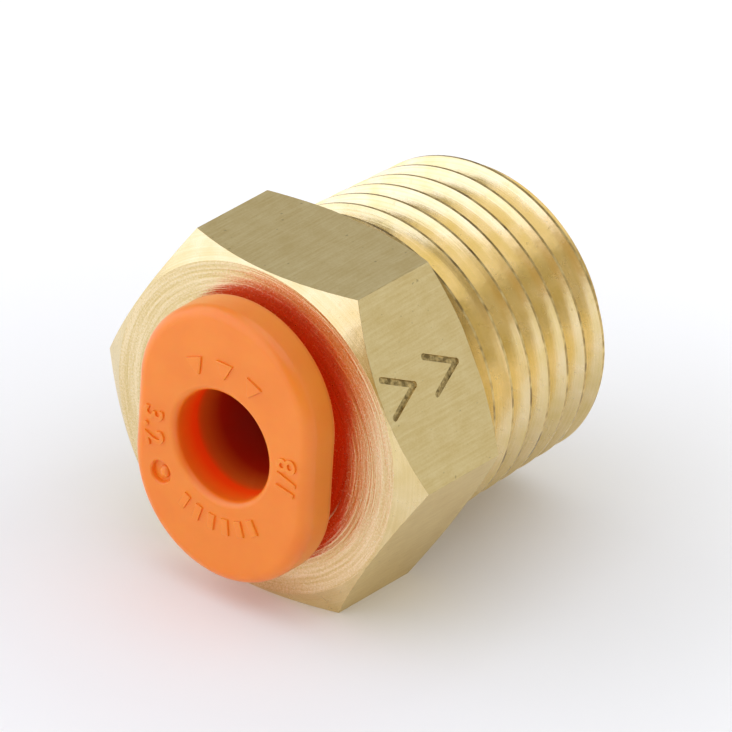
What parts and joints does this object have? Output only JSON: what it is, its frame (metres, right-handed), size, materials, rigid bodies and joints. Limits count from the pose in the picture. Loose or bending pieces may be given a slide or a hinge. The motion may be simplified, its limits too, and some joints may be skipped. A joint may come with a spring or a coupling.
{
  "type": "push to connect fitting",
  "caption": "Straight male push to connect fitting: brass hexagon body with a taper pipe thread and an oval release button.",
  "frame": {"origin": "on the tube axis, at the centre of the hexagon's front face", "axes": "+Y along the tube axis from the mouth to the thread end, +Z square to a hexagon flat, +X towards a hexagon corner"},
  "size_m": [0.0128, 0.0133, 0.0112],
  "materials": {
    "brass_body": "bare, machined",
    "orange_acetal": "moulded, satin",
    "brass_ring": "turned",
    "natural_acetal": "moulded, natural colour",
    "stainless": "stamped",
    "white_acetal": "moulded",
    "seal_rubber": "moulded nitrile"
  },
  "bodies": {
    "fitting": {"body": "brass_body", "guide_ring": "brass_ring", "backup_ring": "white_acetal", "tube_seal": "seal_rubber"},
    "grip": {"collet": "natural_acetal", "chuck": "stainless"},
    "button": {"release_button": "orange_acetal"}
  },
  "joints": [
    {"name": "grip_swivel", "type": "hinge", "parent": "fitting", "child": "grip", "pos_m": [0, 0.0045, 0], "axis": [0, 1, 0], "continuous": true},
    {"name": "button_press", "type": "slide", "parent": "grip", "child": "button", "axis": [0, 1, 0], "range_m": [0, 0.00042], "stiffness_N_per_m": 400, "deforming": ["chuck"]}
  ]
}
